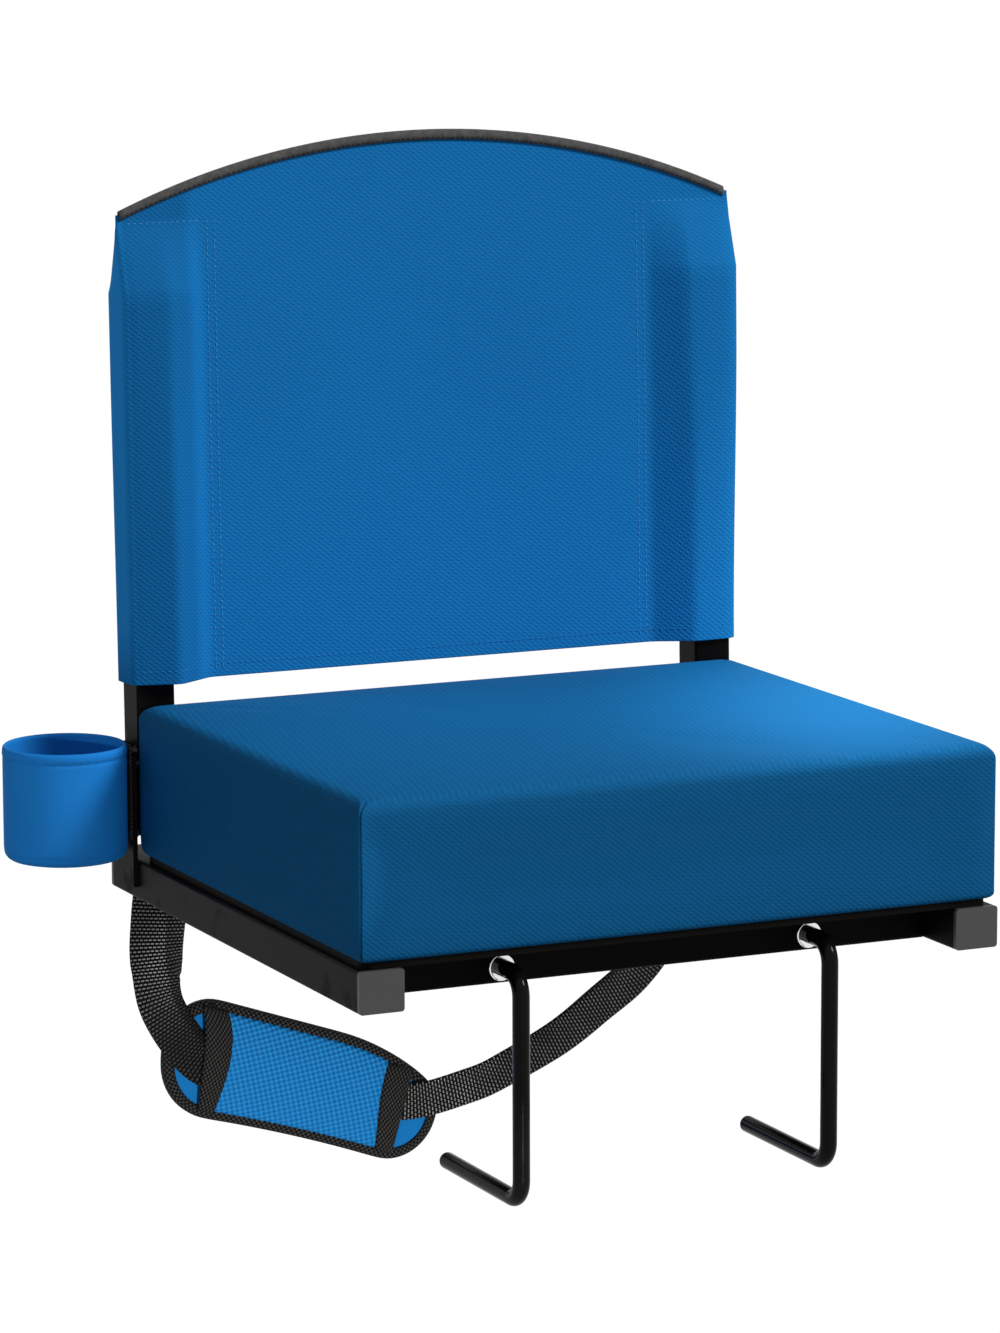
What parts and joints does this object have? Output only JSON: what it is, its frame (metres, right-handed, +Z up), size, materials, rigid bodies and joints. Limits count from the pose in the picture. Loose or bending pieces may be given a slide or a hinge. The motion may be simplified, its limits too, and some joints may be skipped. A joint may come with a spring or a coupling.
{
  "type": "stadium seat",
  "caption": "Padded stadium seat that hooks onto a bench, with a cloth back that folds forward, a cup holder and a padded shoulder strap.",
  "frame": {"origin": "centre of the front rail's bottom face, on the plane of the bench top", "axes": "+X to the viewer's right seen from the front, +Y to the rear, +Z up"},
  "size_m": [0.4974, 0.4021, 0.6692],
  "materials": {
    "runner_paint": "satin black powder coat",
    "cap_plastic": "matt dark grey moulding",
    "plug_plastic": "matt black moulding",
    "board_ply": "black stained ply",
    "fastener_steel": "zinc plated",
    "bolt_black": "black oxide",
    "washer_chrome": "bright plated",
    "hook_paint": "gloss black",
    "nylon": "natural nylon",
    "seat_cloth": "blue coated twill weave",
    "foam": "open cell foam",
    "binding_tape": "grey-brown woven tape",
    "webbing": "black webbing with a pale fleck",
    "pad_cloth": "blue coarse weave",
    "pad_tape": "black woven tape"
  },
  "bodies": {
    "seat": {"board_screws": "fastener_steel", "cup_hanger": "pad_tape", "cup_holder": "seat_cloth", "cup_rivets": "fastener_steel", "front_rail": "runner_paint", "hinge_rivets": "runner_paint", "left_front_cap": "cap_plastic", "left_hinge_plate": "runner_paint", "left_rear_cap": "cap_plastic", "left_runner": "runner_paint", "pad_binding": "pad_tape", "pad_end_bands": "pad_tape", "pad_tunnel": "pad_cloth", "pivot_bolts": "bolt_black", "pivot_nuts": "fastener_steel", "pivot_washers": "nylon", "rear_rail": "runner_paint", "right_front_cap": "cap_plastic", "right_hinge_plate": "runner_paint", "right_rear_cap": "cap_plastic", "right_runner": "runner_paint", "seat_board": "board_ply", "seat_cover": "seat_cloth", "seat_foam": "foam", "shoulder_pad": "pad_cloth", "shoulder_strap": "webbing", "strap_screws": "fastener_steel", "strap_washers": "fastener_steel"},
    "backrest": {"left_back_tube": "runner_paint", "right_back_tube": "runner_paint", "back_cross_tube": "runner_paint", "back_top_plugs": "plug_plastic", "back_foot_plugs": "plug_plastic", "guide_pins": "fastener_steel", "back_panel": "seat_cloth", "back_top_binding": "binding_tape"},
    "left_hook": {"left_hook": "hook_paint", "left_hook_washer": "washer_chrome", "left_hook_nut": "fastener_steel"},
    "right_hook": {"right_hook": "hook_paint", "right_hook_washer": "washer_chrome", "right_hook_nut": "fastener_steel"}
  },
  "joints": [
    {"name": "back_fold", "type": "hinge", "parent": "seat", "child": "backrest", "pos_m": [0, 0.307, 0.11], "axis": [1, 0, 0], "range_deg": [0, 90], "deforming": ["seat_cover", "seat_foam"]},
    {"name": "left_hook_swivel", "type": "hinge", "parent": "seat", "child": "left_hook", "pos_m": [-0.1006, 0, 0.01], "axis": [0, 1, 0], "range_deg": [-42, 74]},
    {"name": "right_hook_swivel", "type": "hinge", "parent": "seat", "child": "right_hook", "pos_m": [0.1006, 0, 0.01], "axis": [0, 1, 0], "range_deg": [-74, 42]}
  ]
}
